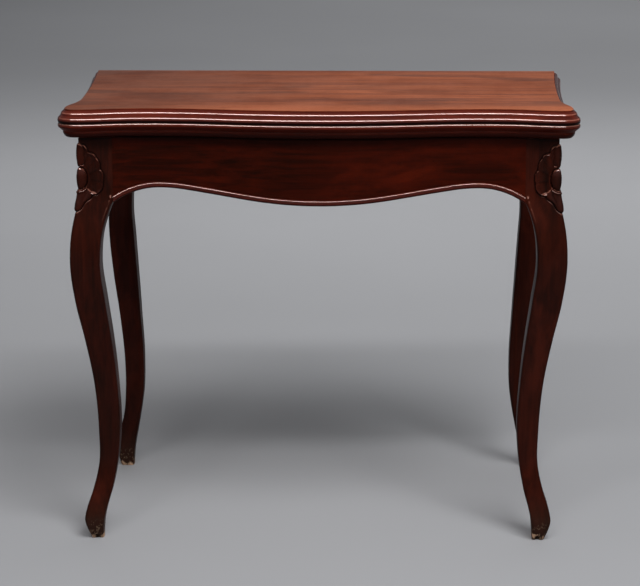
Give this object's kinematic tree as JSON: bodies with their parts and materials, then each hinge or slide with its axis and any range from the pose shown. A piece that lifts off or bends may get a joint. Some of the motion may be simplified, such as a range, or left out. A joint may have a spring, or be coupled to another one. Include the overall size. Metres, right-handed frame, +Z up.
{
  "type": "folding card table",
  "caption": "Serpentine-front folding card table on cabriole legs; the top turns a quarter on a pivot and its upper leaf folds open over the frame.",
  "frame": {"origin": "centre of the folded top's outline, on the floor", "axes": "+X along the table's width to the right as seen from its front, +Y from the front to the hinged back edge, +Z up"},
  "size_m": [0.8512, 0.4641, 0.74],
  "materials": {
    "top_wood": "waxed mahogany, figured, faded red-brown",
    "carcase_wood": "dark polished mahogany",
    "secondary_wood": "unpolished secondary timber",
    "baize": "woven wool baize",
    "brass": "aged brass",
    "iron": "dark iron"
  },
  "bodies": {
    "frame": {"back_rail": "secondary_wood", "front_bead": "carcase_wood", "front_left_leg": "carcase_wood", "front_rail": "carcase_wood", "front_right_leg": "carcase_wood", "glue_blocks": "secondary_wood", "left_side_bead": "carcase_wood", "left_side_rail": "carcase_wood", "pivot_rail": "secondary_wood", "rear_left_leg": "carcase_wood", "rear_right_leg": "carcase_wood", "right_side_bead": "carcase_wood", "right_side_rail": "carcase_wood", "slide_strips": "secondary_wood", "stop_block": "secondary_wood", "stop_block_screws": "iron", "well_divider": "secondary_wood", "well_floor": "secondary_wood", "well_ledgers": "secondary_wood"},
    "lower_leaf_body": {"lower_leaf": "top_wood", "lower_baize": "baize", "leaf_tongue": "top_wood", "left_hinge_lower_plate": "brass", "right_hinge_lower_plate": "brass", "left_hinge_pin": "brass", "right_hinge_pin": "brass", "lower_hinge_screws": "brass", "pivot_plate": "iron", "pivot_plate_screws": "iron", "pivot_bolt": "iron", "pivot_washer": "iron", "pivot_nut": "iron", "stop_peg": "secondary_wood"},
    "upper_leaf_body": {"upper_leaf": "top_wood", "upper_baize": "baize", "left_hinge_upper_plate": "brass", "right_hinge_upper_plate": "brass", "upper_hinge_screws": "brass"}
  },
  "joints": [
    {"name": "top_swivel", "type": "hinge", "parent": "frame", "child": "lower_leaf_body", "pos_m": [0.10966, 0.11634, 0.6921], "axis": [0, 0, 1], "range_deg": [0, 90]},
    {"name": "leaf_fold", "type": "hinge", "parent": "lower_leaf_body", "child": "upper_leaf_body", "pos_m": [0, 0.2262, 0.7168], "axis": [-1, 0, 0], "range_deg": [0, 180]}
  ]
}
